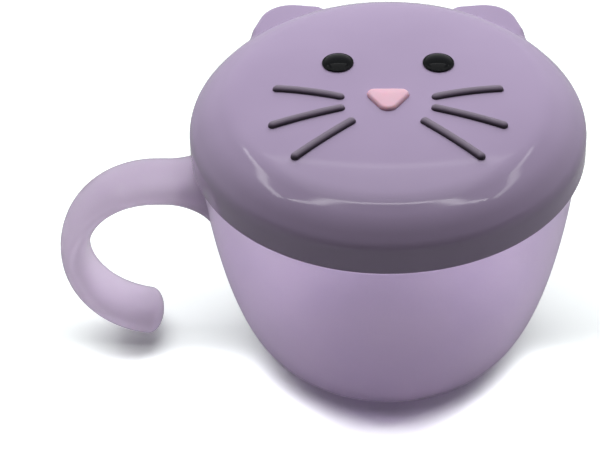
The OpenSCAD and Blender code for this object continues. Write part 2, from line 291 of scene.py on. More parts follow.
def cleaned(mesh):
    """Merges doubled points, turns the faces outward and shades the mesh smooth."""
    work = bmesh.new()
    work.from_mesh(mesh)
    bmesh.ops.remove_doubles(work, verts=work.verts, dist=weld)
    bmesh.ops.dissolve_degenerate(work, edges=work.edges, dist=sliver)
    bmesh.ops.recalc_face_normals(work, faces=work.faces)
    if work.calc_volume(signed=True) < 0:
        bmesh.ops.reverse_faces(work, faces=work.faces)
    open_edges = sum(not edge.is_manifold for edge in work.edges)
    work.to_mesh(mesh)
    work.free()
    mesh.shade_smooth()
    if open_edges:
        print(f"{mesh.name}: {open_edges} open edges")
    return mesh


def solid(name, points, faces, place=Matrix.Identity(4)):
    """A closed mesh from points in millimetres, put in its place."""
    mesh = bpy.data.meshes.new(name)
    mesh.from_pydata([place @ Vector(p) * mm for p in points], [], faces)
    return cleaned(mesh)


def placed(name, data):
    """A new object in the scene."""
    made = bpy.data.objects.new(name, data)
    bpy.context.scene.collection.objects.link(made)
    return made


def show(mesh, material, body, slot, *parts):
    """Shows a mesh as a piece that rides on a body and stands for engineered parts."""
    piece = placed(mesh.name, mesh)
    mesh.materials.clear()
    mesh.materials.append(material)
    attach(piece, body)
    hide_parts(*parts)
    print(f"{mesh.name}: {len(mesh.polygons)} faces")


# %% [markdown]
# ## Geometry Nodes, grown once
# A tree is grown on an empty object. Its sizes are set by each socket's identifier before the
# object is first evaluated, and the result is taken as a plain mesh, because only plain meshes
# ride, pose and export without surprises.

# %% Helpers for Geometry Nodes
def new_tree(name, sizes):
    """A Geometry Nodes tree with a named input for each size, and the sockets of its inputs."""
    tree = bpy.data.node_groups.new(name, "GeometryNodeTree")
    for label, value in sizes.items():
        socket = tree.interface.new_socket(label, in_out="INPUT", socket_type="NodeSocketFloat")
        socket.default_value = value
    tree.interface.new_socket("Geometry", in_out="OUTPUT", socket_type="NodeSocketGeometry")
    return tree, node(tree, "NodeGroupInput").outputs


def end_tree(tree, geometry, material):
    """Ends a tree with real geometry that carries its material."""
    real = node(tree, "GeometryNodeRealizeInstances", {"Geometry": geometry})
    dressed = node(tree, "GeometryNodeSetMaterial", {"Geometry": real, "Material": material})
    node(tree, "NodeGroupOutput", {"Geometry": dressed})


def grown(tree, name, **sizes):
    """The plain mesh that a tree makes with these sizes."""
    soil = placed(name, bpy.data.meshes.new(name + "_soil"))
    modifier = soil.modifiers.new("grow", "NODES")
    modifier.node_group = tree
    sockets = {s.name: s.identifier for s in tree.interface.items_tree if s.in_out == "INPUT"}
    for label, value in sizes.items():
        modifier[sockets[label.replace("_", " ")]] = float(value)
    depsgraph = bpy.context.evaluated_depsgraph_get()
    mesh = bpy.data.meshes.new_from_object(soil.evaluated_get(depsgraph))
    bpy.data.objects.remove(soil)
    mesh.name = name
    return cleaned(mesh)


# %% [markdown]
# ## The cup
# The cup is moulded in one wall of even thickness. The wall follows a rule: its radius and height
# are powers of a sine and a cosine, which gives the full lower corner and the nearly upright rim.
# A screw modifier could turn a drawn profile, but a turned shape that follows a rule suits
# Geometry Nodes. The tree bends a flat grid: one side of the grid runs from the middle of the
# base, up the outside, round the rim and back down the inside, and the other side runs round
# the axis.

# %% Sizes of the cup
cup_high = part_box("cup")[1]
cup_r = 50.3
cup_h = cup_high[2]
base_r = 26.0
cup_wall = 1.8
bead_out = cup_high[0] - cup_r
bead_h = 1.4
bead_gap = 0.3
bead_z = skirt_z - bead_gap - bead_h / 2
bowl_gap = 0.2
bowl_h = bead_z - bead_h / 2 - bowl_gap
curve_steps = 400
# The higher these two are, the fuller the bowl.
bowl_low = 1.3
bowl_full = 2.6
bowl_rise = 2 / bowl_low
bowl_fill = 2 / bowl_full
# The way from the middle of the base to the rim ends its floor, its bowl and its wall here.
floor_end, bowl_end, wall_end = 0.08, 0.62, 0.94


def bowl_radius(z):
    """Outside radius of the bowl at height z, from the same rule as the tree."""
    turn = np.linspace(0, math.pi / 2, curve_steps)
    heights = bowl_h * (1 - np.cos(turn) ** bowl_rise)
    return float(np.interp(z, heights, base_r + (cup_r - base_r) * np.sin(turn) ** bowl_fill))


print(f"the bowl is {bowl_radius(30):.1f} mm in radius at 30 mm, and its rim is {cup_h:.1f} mm up")

# %% The rule of the wall, as nodes
def wall_point(tree, size, way):
    """Radius and height on the outside, way along from the middle of the base to the rim."""
    marks = [(0, floor_end), (floor_end, bowl_end), (bowl_end, wall_end)]
    across, turn, up = [
        node(tree, "ShaderNodeMapRange", {"Value": way, "From Min": low, "From Max": high})
        for low, high in marks]
    angle = node(tree, "ShaderNodeMath", {0: turn, 1: math.pi / 2}, operation="MULTIPLY")
    sine = node(tree, "ShaderNodeMath", {0: angle}, operation="SINE")
    cosine = node(tree, "ShaderNodeMath", {0: angle}, operation="COSINE")
    fill = node(tree, "ShaderNodeMath", {0: sine, 1: bowl_fill}, operation="POWER")
    fall = node(tree, "ShaderNodeMath", {0: cosine, 1: bowl_rise}, operation="POWER")
    swell = node(tree, "ShaderNodeMath", {0: size["Rim radius"], 1: size["Base radius"]},
                 operation="SUBTRACT")
    disc = node(tree, "ShaderNodeMath", {0: across, 1: size["Base radius"]}, operation="MULTIPLY")
    radius = node(tree, "ShaderNodeMath", {0: fill, 1: swell, 2: disc}, operation="MULTIPLY_ADD")
    rise = node(tree, "ShaderNodeMath", {0: 1.0, 1: fall}, operation="SUBTRACT")
    bowl = node(tree, "ShaderNodeMath", {0: rise, 1: size["Bowl height"]}, operation="MULTIPLY")
    rim = node(tree, "ShaderNodeMath", {0: size["Rim height"], 1: size["Bowl height"]},
               operation="SUBTRACT")
    height = node(tree, "ShaderNodeMath", {0: up, 1: rim, 2: bowl}, operation="MULTIPLY_ADD")
    return node(tree, "ShaderNodeCombineXYZ", {"X": radius, "Z": height})


# %% The cup's tree
cup_tree, size = new_tree("turned_cup", {
    "Base radius": base_r * mm, "Rim radius": cup_r * mm, "Bowl height": bowl_h * mm,
    "Rim height": (cup_h - cup_wall / 2) * mm, "Wall": cup_wall * mm,
    "Bead": bead_out * mm, "Bead height": bead_h * mm, "Bead middle": bead_z * mm})
steps_along, steps_round = 241, 193
grid = node(cup_tree, "GeometryNodeMeshGrid",
            {"Size X": 2, "Size Y": 1, "Vertices X": steps_along, "Vertices Y": steps_round})
spot = node(cup_tree, "ShaderNodeSeparateXYZ", {0: node(cup_tree, "GeometryNodeInputPosition")})
side = spot.outputs["X"]
distance = node(cup_tree, "ShaderNodeMath", {0: side}, operation="ABSOLUTE")
way = node(cup_tree, "ShaderNodeMath", {0: 1.0, 1: distance}, operation="SUBTRACT")

# The wall's slope is taken between the points just ahead and just behind.
nudge = 0.004
here, ahead, behind = [
    wall_point(cup_tree, size, node(cup_tree, "ShaderNodeMath", {0: way, 1: shift}, operation="ADD"))
    for shift in (0.0, nudge, -nudge)]
along = node(cup_tree, "ShaderNodeVectorMath",
             {0: node(cup_tree, "ShaderNodeVectorMath", {0: ahead, 1: behind}, operation="SUBTRACT")},
             operation="NORMALIZE")
outward = node(cup_tree, "ShaderNodeVectorMath", {0: (0, 1, 0), 1: along}, operation="CROSS_PRODUCT")

# %% The cup's thickness, rim and bead
# The rim turns half a circle between the outside and the inside, where side goes through zero.
turn = node(cup_tree, "ShaderNodeMapRange",
            {"Value": side, "From Min": wall_end - 1, "From Max": 1 - wall_end, "To Max": math.pi})
half_wall = node(cup_tree, "ShaderNodeMath", {0: size["Wall"], 1: 0.5}, operation="MULTIPLY")
cosine = node(cup_tree, "ShaderNodeMath", {0: turn}, operation="COSINE")
sine = node(cup_tree, "ShaderNodeMath", {0: turn}, operation="SINE")
depth = node(cup_tree, "ShaderNodeMath", {0: cosine, 1: 1.0}, operation="SUBTRACT")
inward = node(cup_tree, "ShaderNodeMath", {0: depth, 1: half_wall}, operation="MULTIPLY")
over = node(cup_tree, "ShaderNodeMath", {0: sine, 1: half_wall}, operation="MULTIPLY")
height = node(cup_tree, "ShaderNodeSeparateXYZ", {0: here}).outputs["Z"]
off = node(cup_tree, "ShaderNodeMath", {0: height, 1: size["Bead middle"]}, operation="SUBTRACT")
span = node(cup_tree, "ShaderNodeMath", {0: size["Bead height"], 1: 0.5}, operation="MULTIPLY")
part = node(cup_tree, "ShaderNodeMath", {0: off, 1: span}, operation="DIVIDE")
square = node(cup_tree, "ShaderNodeMath", {0: part, 1: part}, operation="MULTIPLY")
left = node(cup_tree, "ShaderNodeMath", {0: 1.0, 1: square}, operation="SUBTRACT", use_clamp=True)
swell = node(cup_tree, "ShaderNodeMath", {0: left}, operation="SQRT")
outside = node(cup_tree, "ShaderNodeMath", {0: side, 1: 0.0}, operation="LESS_THAN")
bulge = node(cup_tree, "ShaderNodeMath", {0: swell, 1: outside}, operation="MULTIPLY")
push = node(cup_tree, "ShaderNodeMath", {0: bulge, 1: size["Bead"], 2: inward},
            operation="MULTIPLY_ADD")
moved = node(cup_tree, "ShaderNodeVectorMath", {0: outward, "Scale": push}, operation="SCALE")
lifted = node(cup_tree, "ShaderNodeVectorMath", {0: along, "Scale": over}, operation="SCALE")
wall = node(cup_tree, "ShaderNodeVectorMath", {0: here, 1: moved}, operation="ADD")
wall = node(cup_tree, "ShaderNodeVectorMath", {0: wall, 1: lifted}, operation="ADD")
turn = node(cup_tree, "ShaderNodeMath", {0: spot.outputs["Y"], 1: 2 * math.pi}, operation="MULTIPLY")
round_axis = node(cup_tree, "ShaderNodeVectorRotate", {"Vector": wall, "Angle": turn},
                  rotation_type="Z_AXIS")
shaped = node(cup_tree, "GeometryNodeSetPosition", {"Geometry": grid, "Position": round_axis})
end_tree(cup_tree, shaped, cup_plastic)

show(grown(cup_tree, "snack_cup"), cup_plastic, "cup_body", "cup_plastic", "cup")

# %% [markdown]
# ## The hook
# The handle is one strap that leaves the cup level, bends through 170 degrees and ends round.
# Its section is a wide oval that swells where it grows out of the wall, with a small fillet at
# the root. A loft along the bend gives that, and its first ring is sunk a little into the bowl
# so that no gap shows.

# %% Sizes of the hook
hook_r = 23.1
hook_x = -62.4
hook_z = 51.9
hook_turn = math.radians(170)
strap_w = 17.4
strap_t = 8.0
root_len = 9.0
root_wide = 7.0
root_thick = 6.0
root_drop = 0.8
root_sink = 0.3
fillet_r = 1.3
fillet_fade = 0.9
oval_points = 48
root_rings, run_rings, bend_rings, end_rings = 24, 4, 64, 14
last_end_ring = 89.5


def section(width, thickness):
    """The strap's oval, across and through."""
    turns = np.linspace(0, 2 * math.pi, oval_points + 1)[:-1]
    return [(width / 2 * math.cos(a), thickness / 2 * math.sin(a)) for a in turns]


# %% Rings of the hook
rings = []
flare_x = -cup_r - root_len
for k in range(root_rings + 1):
    q = k / root_rings
    grow = (1 - q) ** 2
    fillet = fillet_r * math.exp(-q * root_len / fillet_fade)
    ring = []
    wide, thick = strap_w + root_wide * grow + 2 * fillet, strap_t + root_thick * grow + 2 * fillet
    for across, through in section(wide, thick):
        z = hook_z - root_drop * grow + through
        on_bowl = -math.sqrt(bowl_radius(z) ** 2 - across ** 2) + root_sink
        ring.append((on_bowl + (flare_x - on_bowl) * q, across, z))
    rings.append(ring)
for k in range(1, run_rings):
    x = flare_x + (hook_x - flare_x) * k / run_rings
    rings.append([(x, across, hook_z + through) for across, through in section(strap_w, strap_t)])


def hook_ring(angle, advance, width, thickness):
    """A ring at an angle round the bend, moved on along the strap by advance."""
    out = np.array([math.cos(angle), math.sin(angle)])
    on = np.array([-math.sin(angle), math.cos(angle)])
    centre = np.array([hook_x, hook_z - hook_r]) + hook_r * out + advance * on
    spots = [(centre + through * out, across) for across, through in section(width, thickness)]
    return [(x, across, z) for (x, z), across in spots]


for k in range(bend_rings + 1):
    rings.append(hook_ring(math.pi / 2 + hook_turn * k / bend_rings, 0, strap_w, strap_t))
for a in np.radians(np.linspace(0, last_end_ring, end_rings + 1)[1:]):
    small = math.cos(a)
    advance = strap_t / 2 * math.sin(a)
    rings.append(hook_ring(math.pi / 2 + hook_turn, advance, strap_w * small, strap_t * small))

# %% The hook as a piece
count = len(rings[0])
points = [p for ring in rings for p in ring]
faces = joined(len(rings), count, False, True)
for ring in (0, len(rings) - 1):
    faces.append([ring * count + k for k in range(count)])
show(solid("hook_handle", points, faces), handle_plastic, "cup_body", "handle_plastic", "handle")

# %% [markdown]
# ## The finger trap
# A stiff ring hangs in the cup's mouth by its flange. Its floor has an eight-sided hole, and a
# soft flap closes each eighth of it, so that a small hand pushes in and the snacks stay in.
# The ring's profile changes round the axis only at the hole, so it is turned with a profile
# that asks for the angle.

# %% The trap's frame
trap_low, trap_high = part_box("trap_frame")
flange_r = trap_high[0]
trap_z = trap_low[2]
trap_gap = 0.4
trap_r = cup_r - cup_wall - trap_gap
trap_wall = 1.6
flap_count = 8
flap_root = 35.0
root_gap = 0.9
frame_in = flap_root + root_gap
hole_edge, floor_edge, flange_edge, flange_root = 0.4, 0.8, 0.5, 0.3
trap_steps = 384


def trap_profile(angle):
    """Section through the trap's frame at an angle."""
    step = 2 * math.pi / flap_count
    hole = frame_in / math.cos((angle + step / 2) % step - step / 2)
    top = trap_high[2]
    inner_r = trap_r - trap_wall
    floor_top = trap_z + trap_wall
    corners = [(hole, trap_z, hole_edge), (trap_r, trap_z, floor_edge), (trap_r, cup_h, flange_root),
               (flange_r, cup_h, flange_edge), (flange_r, top, flange_edge), (inner_r, top, flange_edge),
               (inner_r, floor_top, floor_edge), (hole, floor_top, hole_edge)]
    return rounded([corners[-1], *corners, corners[0]], steps=4)[1:-1]


points, faces = turned(trap_profile, even_angles(trap_steps), True)
show(solid("finger_trap_frame", points, faces), trap_plastic, "trap", "trap_plastic", "trap_frame")

# %% [markdown]
# ## The flaps
# The eight flaps are the same wedge at eight angles, and each bends on its own line, so each is
# a piece of its own on its own body. The tree shapes one wedge from a block and its Turn input
# points it the right way.

# %% The flaps' tree
flap_low, flap_high = part_box("flap_1")
flap_t = flap_high[2] - flap_low[2]
flap_z = (flap_high[2] + flap_low[2]) / 2
flap_slit = 1.2
flap_edge = 0.3
steps_long, steps_wide, steps_thick = 25, 17, 3
flap_tree, size = new_tree("soft_flap", {
    "Root": flap_high[0] * mm, "Tip": flap_low[0] * mm, "Slit": flap_slit * mm,
    "Thickness": flap_t * mm, "Height": flap_z * mm, "Half angle": math.pi / flap_count,
    "Turn": 0.0})
block = node(flap_tree, "GeometryNodeMeshCube",
             {"Size": (1, 1, 1), "Vertices X": steps_long, "Vertices Y": steps_wide,
              "Vertices Z": steps_thick})
spot = node(flap_tree, "ShaderNodeSeparateXYZ", {0: node(flap_tree, "GeometryNodeInputPosition")})
reach = node(flap_tree, "ShaderNodeMapRange",
             {"Value": spot.outputs["X"], "From Min": -0.5, "From Max": 0.5,
              "To Min": size["Tip"], "To Max": size["Root"]})
slope = node(flap_tree, "ShaderNodeMath", {0: size["Half angle"]}, operation="TANGENT")
edge = node(flap_tree, "ShaderNodeMath", {0: reach, 1: slope}, operation="MULTIPLY")
lean = node(flap_tree, "ShaderNodeMath", {0: size["Half angle"]}, operation="COSINE")
slit = node(flap_tree, "ShaderNodeMath", {0: size["Slit"], 1: lean}, operation="DIVIDE")
double = node(flap_tree, "ShaderNodeMath", {0: edge, 1: 2.0}, operation="MULTIPLY")
width = node(flap_tree, "ShaderNodeMath", {0: double, 1: slit}, operation="SUBTRACT")
across = node(flap_tree, "ShaderNodeMath", {0: spot.outputs["Y"], 1: width}, operation="MULTIPLY")
through = node(flap_tree, "ShaderNodeMath",
               {0: spot.outputs["Z"], 1: size["Thickness"], 2: size["Height"]},
               operation="MULTIPLY_ADD")
wedge = node(flap_tree, "ShaderNodeCombineXYZ", {"X": reach, "Y": across, "Z": through})
pointed = node(flap_tree, "ShaderNodeVectorRotate", {"Vector": wedge, "Angle": size["Turn"]},
               rotation_type="Z_AXIS")
shaped = node(flap_tree, "GeometryNodeSetPosition", {"Geometry": block, "Position": pointed})
end_tree(flap_tree, shaped, flap_rubber)

# %% Eight flaps
sharp_angle = math.radians(40)


def softened(mesh, radius, steps=3):
    """Rounds a mesh's sharp edges."""
    work = bmesh.new()
    work.from_mesh(mesh)
    sharp = [e for e in work.edges if e.calc_face_angle(0) > sharp_angle]
    bmesh.ops.bevel(work, geom=sharp, offset=radius * mm, segments=steps, profile=0.5, affect="EDGES")
    work.to_mesh(mesh)
    work.free()
    mesh.shade_smooth()
    return mesh


for i in range(flap_count):
    mesh = grown(flap_tree, f"soft_flap_{i + 1}", Turn=2 * math.pi * i / flap_count)
    mesh = softened(mesh, flap_edge)
    show(mesh, flap_rubber, f"flap_body_{i + 1}", "flap_rubber", f"flap_{i + 1}")

# %% [markdown]
# ## The lid
# The lid is a turned cap with a band, a rounded shoulder and a nearly flat face, and two hollow
# ears that grow out of its band. A turned shape with a profile that asks for the angle makes it
# in one skin: at the ears the band's corner moves out to the ear's outline and a ledge opens
# between it and the shoulder, and elsewhere the ledge closes to nothing. Inside, a rib comes
# down close to the trap's flange and keeps the trap in its seat.

# %% Sizes of the lid
lid_wall = 1.8
band_h = 7.8
shoulder_h = 8.8
shoulder_in = 10.2
shoulder_bulge = 1.2
shoulder_r = 16.0
face_r = lid_r - shoulder_in
face_rise = lid_high[2] - skirt_z - band_h - shoulder_h
# The higher this is, the flatter the face is in its middle.
face_full = 3.4
band_corner = 6.0
face_corner = 14.0
ear_dir = math.radians(58)
ear_tip_r = 8.8
ear_reach = 9.6
ear_half = math.radians(22)
ear_h = 10.0
ear_soft = 1.8
ear_root_in = 2.0
ear_blend = 2.0
# No part of an ear is farther round the axis from its middle than this.
ear_sight = math.radians(50)

# %% The ears' outline
root = (lid_r - ear_root_in) * np.array([math.cos(ear_half), math.sin(ear_half)])
tip = np.array([lid_r + ear_reach, 0.0])
ear_lean = math.atan2(tip[0] - root[0], root[1])
ear_line = tip[0] * math.cos(ear_lean)
ear_centre = tip[0] - ear_tip_r / math.cos(ear_lean)
ear_round = math.atan2(ear_tip_r * math.sin(ear_lean), ear_centre + ear_tip_r * math.cos(ear_lean))


def ear_radius(angle, inset):
    """Distance from the axis to the outline of the nearer ear, moved in by inset."""
    off = min(abs(math.remainder(angle - way, 2 * math.pi)) for way in (ear_dir, math.pi - ear_dir))
    if off > ear_sight:
        return 0.0
    if off < ear_round:
        aside = ear_centre * math.sin(off)
        return ear_centre * math.cos(off) + math.sqrt((ear_tip_r - inset) ** 2 - aside ** 2)
    return (ear_line - inset) / math.cos(off - ear_lean)


def outline(angle, inset):
    """Distance from the axis to the lid's outline, with the ears blended into the band."""
    band, ear = lid_r - inset, ear_radius(angle, inset)
    near = max(ear_blend - abs(band - ear), 0) / ear_blend
    return max(band, ear) + near * near * ear_blend / 4


print(f"an ear's tip is {outline(ear_dir, 0):.1f} mm from the axis")

# %% Heights on the lid
def face_height(r, inset=0.0):
    """Height of the face at radius r, lowered by inset."""
    return skirt_z + band_h + shoulder_h + face_rise * (1 - (r / face_r) ** face_full) - inset


lean = math.atan2(shoulder_h, shoulder_in)
middle_r = lid_r - shoulder_in / 2 + shoulder_bulge * math.sin(lean)
middle_h = band_h + shoulder_h / 2 + shoulder_bulge * math.cos(lean)
low_slope = (middle_h - band_h) / (lid_r - middle_r)
high_slope = (band_h + shoulder_h - middle_h) / (middle_r - face_r)


def shoulder_height(r, inset):
    """Height of the shoulder at radius r, the lower of its two slopes, moved in by inset."""
    low = band_h + (lid_r - r) * low_slope - inset * math.hypot(1, low_slope)
    high = middle_h + (middle_r - r) * high_slope - inset * math.hypot(1, high_slope)
    return skirt_z + min(low, high)


# %% The lid's side
# The inside's two upper folds lie in from the outside's by these shares of the wall, and the
# radius of its lower corner is smaller by the third.
start_share, fold_share, corner_share = 0.5, 0.73, 0.6
ledge_root, skirt_edge = 0.5, 0.5
face_lead = 2.5
# The ledge is fully open where the outline stands this far out from the band.
ledge_growth = 2.5


def side_line(angle, inset):
    """Corners from the face down the shoulder to the skirt, moved in by inset."""
    edge = outline(angle, inset)
    ear = min(max((edge - lid_r + inset) / ledge_growth, 0), 1)
    ear = ear * ear * (3 - 2 * ear)
    ledge = skirt_z + ear_h - inset
    corner = shoulder_height(lid_r - inset, inset)
    drop = ear_h - band_h - inset + inset * math.hypot(1, low_slope)
    meet_r = lid_r - drop / low_slope
    rise = corner + (ledge - corner) * ear
    lead = face_r - face_lead
    start = face_r - start_share * inset
    fold = middle_r - fold_share * inset
    return [
        (lead, face_height(lead, inset), 0),
        (start, face_height(start, inset), face_corner - inset),
        (fold, shoulder_height(fold, inset), shoulder_r - inset),
        (meet_r, shoulder_height(meet_r, inset), ledge_root + inset / 2),
        (edge, rise, (band_corner + (ear_soft - band_corner) * ear) - corner_share * inset),
        (edge, skirt_z, skirt_edge)]


# %% The lid's whole profile
face_ring_r = 39.0
outer_rings, inner_rings = 20, 14
rib_inset = 0.8
rib_t = 1.6
rib_gap = 0.3
rib_edge = 0.3
lid_steps = 480
rib_out = flange_r - rib_inset
rib_in = rib_out - rib_t


def lid_profile(angle):
    """Section through the lid at an angle: over the outside, round the skirt and back up the inside."""
    centre = [(r, face_height(r), 0) for r in np.linspace(0, face_ring_r, outer_rings + 1)[:-1]]
    outside = side_line(angle, 0)
    inside = side_line(angle, lid_wall)[::-1]
    top = [(r, face_height(r, lid_wall), 0) for r in np.linspace(face_ring_r, 0, inner_rings + 1)[1:]]
    rib_z = trap_high[2] + rib_gap
    rib = [(rib_out, shoulder_height(rib_out, lid_wall), rib_edge), (rib_out, rib_z, rib_edge),
           (rib_in, rib_z, rib_edge), (rib_in, shoulder_height(rib_in, lid_wall), rib_edge)]
    corners = centre[1:] + outside + inside[:3] + rib + inside[3:] + top[:-1]
    return rounded([centre[0], *corners, top[-1]], steps=7)


points, faces = turned(lid_profile, even_angles(lid_steps), False)
show(solid("cat_lid", points, faces), lid_plastic, "lid_body", "lid_plastic", "lid")

# %% [markdown]
# ## Places on the face
# The eyes, nose and whiskers sit square on a face that falls away from its middle. One function
# gives the place at any point of the face, and each piece is made flat at the origin and put there.

# %% A place on the face
def on_face(x, y):
    """The place at x, y on the face, with its own Z square to the surface."""
    r = math.hypot(x, y)
    tilt = math.atan(face_rise * face_full / face_r * (r / face_r) ** (face_full - 1))
    turn = math.atan2(y, x)
    return (Matrix.Translation((x, y, face_height(r))) @ Matrix.Rotation(turn, 4, "Z")
            @ Matrix.Rotation(tilt, 4, "Y") @ Matrix.Rotation(-turn, 4, "Z"))


seat_depth = 0.8

# %% [markdown]
# ## The eyes
# Each eye is a black button with a low dome inside a narrow rim, set into the lid. A flattened
# sphere would lose the rim, so the button is turned from its profile, as the lid is. It is sunk
# by seat_depth, so that no gap shows round it.

# %% Two eyes
eye_r = 4.2
eye_x, eye_y = 13.3, 10.5
rim_w, rim_h, rim_top = 0.45, 0.45, 0.62
dome_r = eye_r - 0.5
dome_foot, dome_h, dome_full = 0.55, 0.85, 0.75
dome_rings, eye_steps = 14, 72
eye_line = [(0, -seat_depth, 0), (eye_r, -seat_depth, 0.1), (eye_r, rim_h, 0.3),
            (eye_r - rim_w, rim_top, 0.15)]
for r in np.linspace(dome_r, 0, dome_rings):
    eye_line.append((r, dome_foot + dome_h * (1 - (r / dome_r) ** 2) ** dome_full, 0))
for side, name in ((-1, "left"), (1, "right")):
    points, faces = turned(lambda angle: rounded(eye_line, steps=4), even_angles(eye_steps), False)
    mesh = solid(f"eye_{name}_button", points, faces, on_face(side * eye_x, eye_y))
    show(mesh, eye_plastic, "lid_body", "eye_plastic", f"eye_{name}")

# %% [markdown]
# ## The nose
# The nose is a soft pad: a triangle with round corners whose edge rolls over into a gentle
# crown. It could be an extruded outline with a bevel, but rings that move in and up give the
# rolled edge and the crown in one closed mesh.

# %% The nose
nose_w = 11.1
nose_l = 8.9
nose_back = 1.5
back_r = 2.1
tip_r = 2.8
nose_middle = 0.8
nose_roll = 1.0
nose_crown = 0.18
arc_points, roll_rings, crown_rings = 18, 8, 10
roll_start, roll_end = 10, 80
back_x, back_y = nose_w / 2 - back_r, nose_l / 2 - back_r
tip_y = tip_r - nose_l / 2
run = math.hypot(back_x, back_y - tip_y)
flank = math.degrees(math.asin((tip_r - back_r) / run) - math.atan2(back_x, back_y - tip_y))
nose_corners = [(back_x, back_y, back_r, flank, 90), (-back_x, back_y, back_r, 90, 180 - flank),
                (0, tip_y, tip_r, 180 - flank, 360 + flank)]


def nose_ring(inset, height, shrink=1.0):
    """Outline of the nose, moved in by inset and drawn toward its middle by shrink."""
    ring = []
    for x, y, radius, low, high in nose_corners:
        r = radius - inset
        for a in np.radians(np.linspace(low, high, arc_points)):
            forward = (y + r * math.sin(a) - nose_middle) * shrink + nose_middle
            ring.append(((x + r * math.cos(a)) * shrink, forward, height))
    return ring


nose_rings = [nose_ring(0, -seat_depth), nose_ring(0, 0.0)]
for a in np.radians(np.linspace(roll_start, roll_end, roll_rings)):
    nose_rings.append(nose_ring(nose_roll * (1 - math.cos(a)), nose_roll * math.sin(a)))
for s in np.linspace(1, 0, crown_rings):
    nose_rings.append(nose_ring(nose_roll, nose_roll + nose_crown * (1 - s * s), s))
points = [p for ring in nose_rings for p in ring]
faces = joined(len(nose_rings), len(nose_rings[0]), False, True) + [list(range(len(nose_rings[0])))]
nose = solid("nose_pad", points, faces, on_face(0, -nose_back - nose_l / 2))
show(nose, nose_rubber, "lid_body", "nose_rubber", "nose")

# %% [markdown]
# ## The whiskers
# Six bars of the same kind, each on its own line, are what Geometry Nodes do well: one tree
# makes a bar with round ends that follows the face's fall and bows a little to one side.

# %% The whiskers' tree
whisker_w = 2.5
whisker_fall = 0.3
whisker_sink = 0.1
bar_tree, size = new_tree("whisker_bar", {
    "Length": 0.0, "Width": whisker_w * mm, "Bow": 0.0,
    "Fall": whisker_fall * mm, "Sink": whisker_sink * mm})
bar_steps, bar_round = 61, 33
grid = node(bar_tree, "GeometryNodeMeshGrid",
            {"Size X": 1, "Size Y": 1, "Vertices X": bar_steps, "Vertices Y": bar_round})
spot = node(bar_tree, "ShaderNodeSeparateXYZ", {0: node(bar_tree, "GeometryNodeInputPosition")})

# The grid's two ends, past cap from its middle, become the bar's round ends.
cap = 0.28
marks = [(-0.5, -cap, math.pi / 2), (-cap, cap, 1.0), (cap, 0.5, math.pi / 2)]
first, middle, last = [
    node(bar_tree, "ShaderNodeMapRange",
         {"Value": spot.outputs["X"], "From Min": low, "From Max": high, "To Max": top})
    for low, high, top in marks]
half = node(bar_tree, "ShaderNodeMath", {0: size["Width"], 1: 0.5}, operation="MULTIPLY")
run = node(bar_tree, "ShaderNodeMath", {0: size["Length"], 1: size["Width"]}, operation="SUBTRACT")
start = node(bar_tree, "ShaderNodeMath", {0: size["Length"], 1: -0.5}, operation="MULTIPLY")
opening = node(bar_tree, "ShaderNodeMath", {0: first}, operation="COSINE")
opening = node(bar_tree, "ShaderNodeMath", {0: 1.0, 1: opening}, operation="SUBTRACT")
closing = node(bar_tree, "ShaderNodeMath", {0: last}, operation="SINE")
ends = node(bar_tree, "ShaderNodeMath", {0: opening, 1: closing}, operation="ADD")
x = node(bar_tree, "ShaderNodeMath", {0: ends, 1: half, 2: start}, operation="MULTIPLY_ADD")
x = node(bar_tree, "ShaderNodeMath", {0: middle, 1: run, 2: x}, operation="MULTIPLY_ADD")
swell = node(bar_tree, "ShaderNodeMath", {0: first}, operation="SINE")
shrink = node(bar_tree, "ShaderNodeMath", {0: last}, operation="COSINE")
radius = node(bar_tree, "ShaderNodeMath", {0: swell, 1: shrink}, operation="MULTIPLY")
radius = node(bar_tree, "ShaderNodeMath", {0: radius, 1: half}, operation="MULTIPLY")
turn = node(bar_tree, "ShaderNodeMath", {0: spot.outputs["Y"], 1: 2 * math.pi}, operation="MULTIPLY")
y = node(bar_tree, "ShaderNodeMath", {0: turn}, operation="COSINE")
z = node(bar_tree, "ShaderNodeMath", {0: turn}, operation="SINE")
part = node(bar_tree, "ShaderNodeMath", {0: x, 1: start}, operation="DIVIDE")
part = node(bar_tree, "ShaderNodeMath", {0: part, 1: part}, operation="MULTIPLY")
left = node(bar_tree, "ShaderNodeMath", {0: 1.0, 1: part}, operation="SUBTRACT")
bow = node(bar_tree, "ShaderNodeMath", {0: left, 1: size["Bow"]}, operation="MULTIPLY")
fall = node(bar_tree, "ShaderNodeMath", {0: part, 1: size["Fall"], 2: size["Sink"]},
            operation="MULTIPLY_ADD")
y = node(bar_tree, "ShaderNodeMath", {0: y, 1: radius, 2: bow}, operation="MULTIPLY_ADD")
z = node(bar_tree, "ShaderNodeMath", {0: z, 1: radius}, operation="MULTIPLY")
z = node(bar_tree, "ShaderNodeMath", {0: z, 1: fall}, operation="SUBTRACT")
bar = node(bar_tree, "ShaderNodeCombineXYZ", {"X": x, "Y": y, "Z": z})
shaped = node(bar_tree, "GeometryNodeSetPosition", {"Geometry": grid, "Position": bar})
end_tree(bar_tree, shaped, whisker_plastic)

